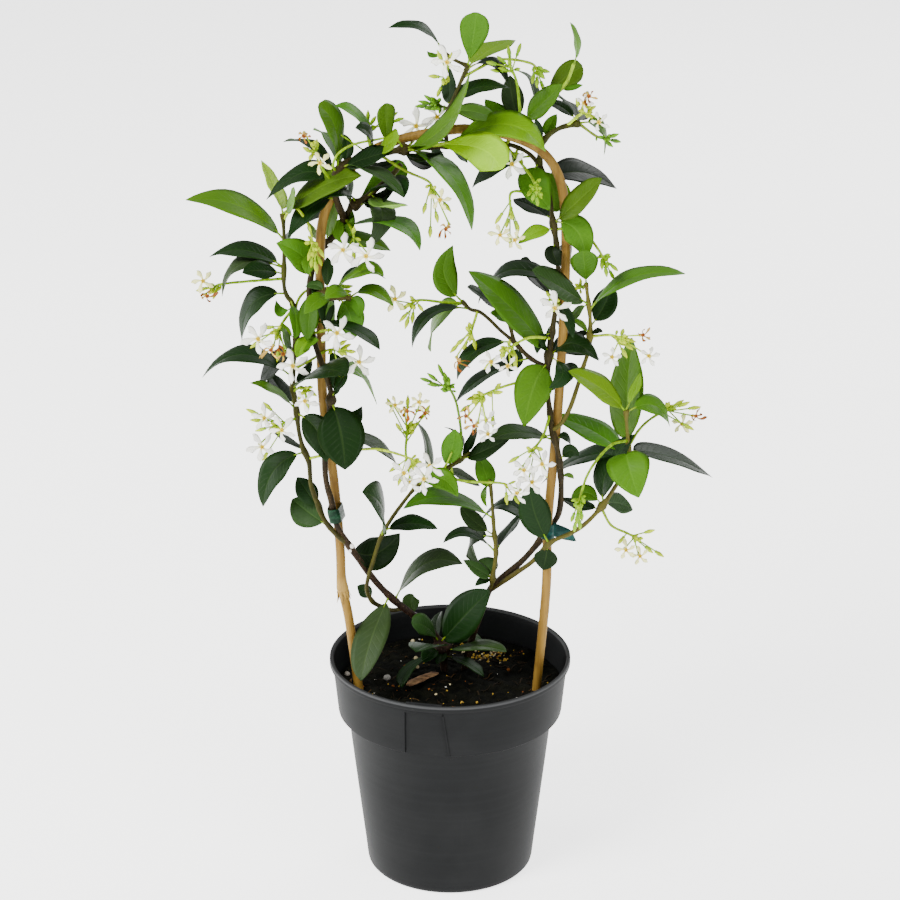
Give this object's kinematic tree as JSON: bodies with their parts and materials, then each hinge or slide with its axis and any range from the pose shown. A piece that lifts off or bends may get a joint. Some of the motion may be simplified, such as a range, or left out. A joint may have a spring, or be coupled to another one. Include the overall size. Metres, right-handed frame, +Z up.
{
  "type": "potted star jasmine",
  "caption": "Twining evergreen with glossy pointed leaves and small white pinwheel flowers, trained round a bent cane hoop in a round charcoal plastic nursery pot.",
  "frame": {"origin": "middle of the pot's base", "axes": "+Z up out of the pot, +X along the hoop's width to the right as seen from the front, +Y to the back"},
  "size_m": [0.361, 0.17, 0.6209],
  "materials": {
    "pot_plastic": "moulded charcoal plastic, satin",
    "compost": "damp loose compost",
    "cane": "bent cane with its skin on",
    "ribbon": "thin tying ribbon, slightly glossy",
    "bark": "rough bark",
    "stone": "dull pebble",
    "foliage": "leathery leaves with a waxy sheen, brown to olive stems",
    "petals": "soft white petals, yellow-green buds and stalks"
  },
  "bodies": {
    "root": {"bark_chip": "bark", "cane_hoop": "cane", "flower_spray_01": "petals", "flower_spray_02": "petals", "flower_spray_03": "petals", "flower_spray_04": "petals", "flower_spray_05": "petals", "flower_spray_06": "petals", "flower_spray_07": "petals", "flower_spray_08": "petals", "flower_spray_09": "petals", "flower_spray_10": "petals", "flower_spray_11": "petals", "flower_spray_12": "petals", "flower_spray_13": "petals", "flower_spray_14": "petals", "flower_spray_15": "petals", "flower_spray_16": "petals", "flower_spray_17": "petals", "flower_spray_18": "petals", "flower_spray_19": "petals", "flower_spray_20": "petals", "flower_spray_21": "petals", "flower_spray_22": "petals", "flower_spray_23": "petals", "flower_spray_24": "petals", "flower_spray_25": "petals", "flower_spray_26": "petals", "flower_spray_27": "petals", "flower_spray_28": "petals", "flower_spray_29": "petals", "flower_spray_30": "petals", "flower_spray_31": "petals", "flower_spray_32": "petals", "flower_spray_33": "petals", "flower_spray_34": "petals", "flower_spray_35": "petals", "flower_spray_36": "petals", "flower_spray_37": "petals", "flower_spray_38": "petals", "flower_spray_39": "petals", "pebble": "stone", "pot": "pot_plastic", "shoot_centre": "foliage", "shoot_middle": "foliage", "shoot_right_upper": "foliage", "shoot_top": "foliage", "shoot_top_right": "foliage", "soil": "compost", "tie_left": "ribbon", "tie_right": "ribbon", "vine_left": "foliage", "vine_left_outer": "foliage", "vine_loop": "foliage", "vine_right": "foliage", "vine_right_outer": "foliage"}
  },
  "joints": []
}
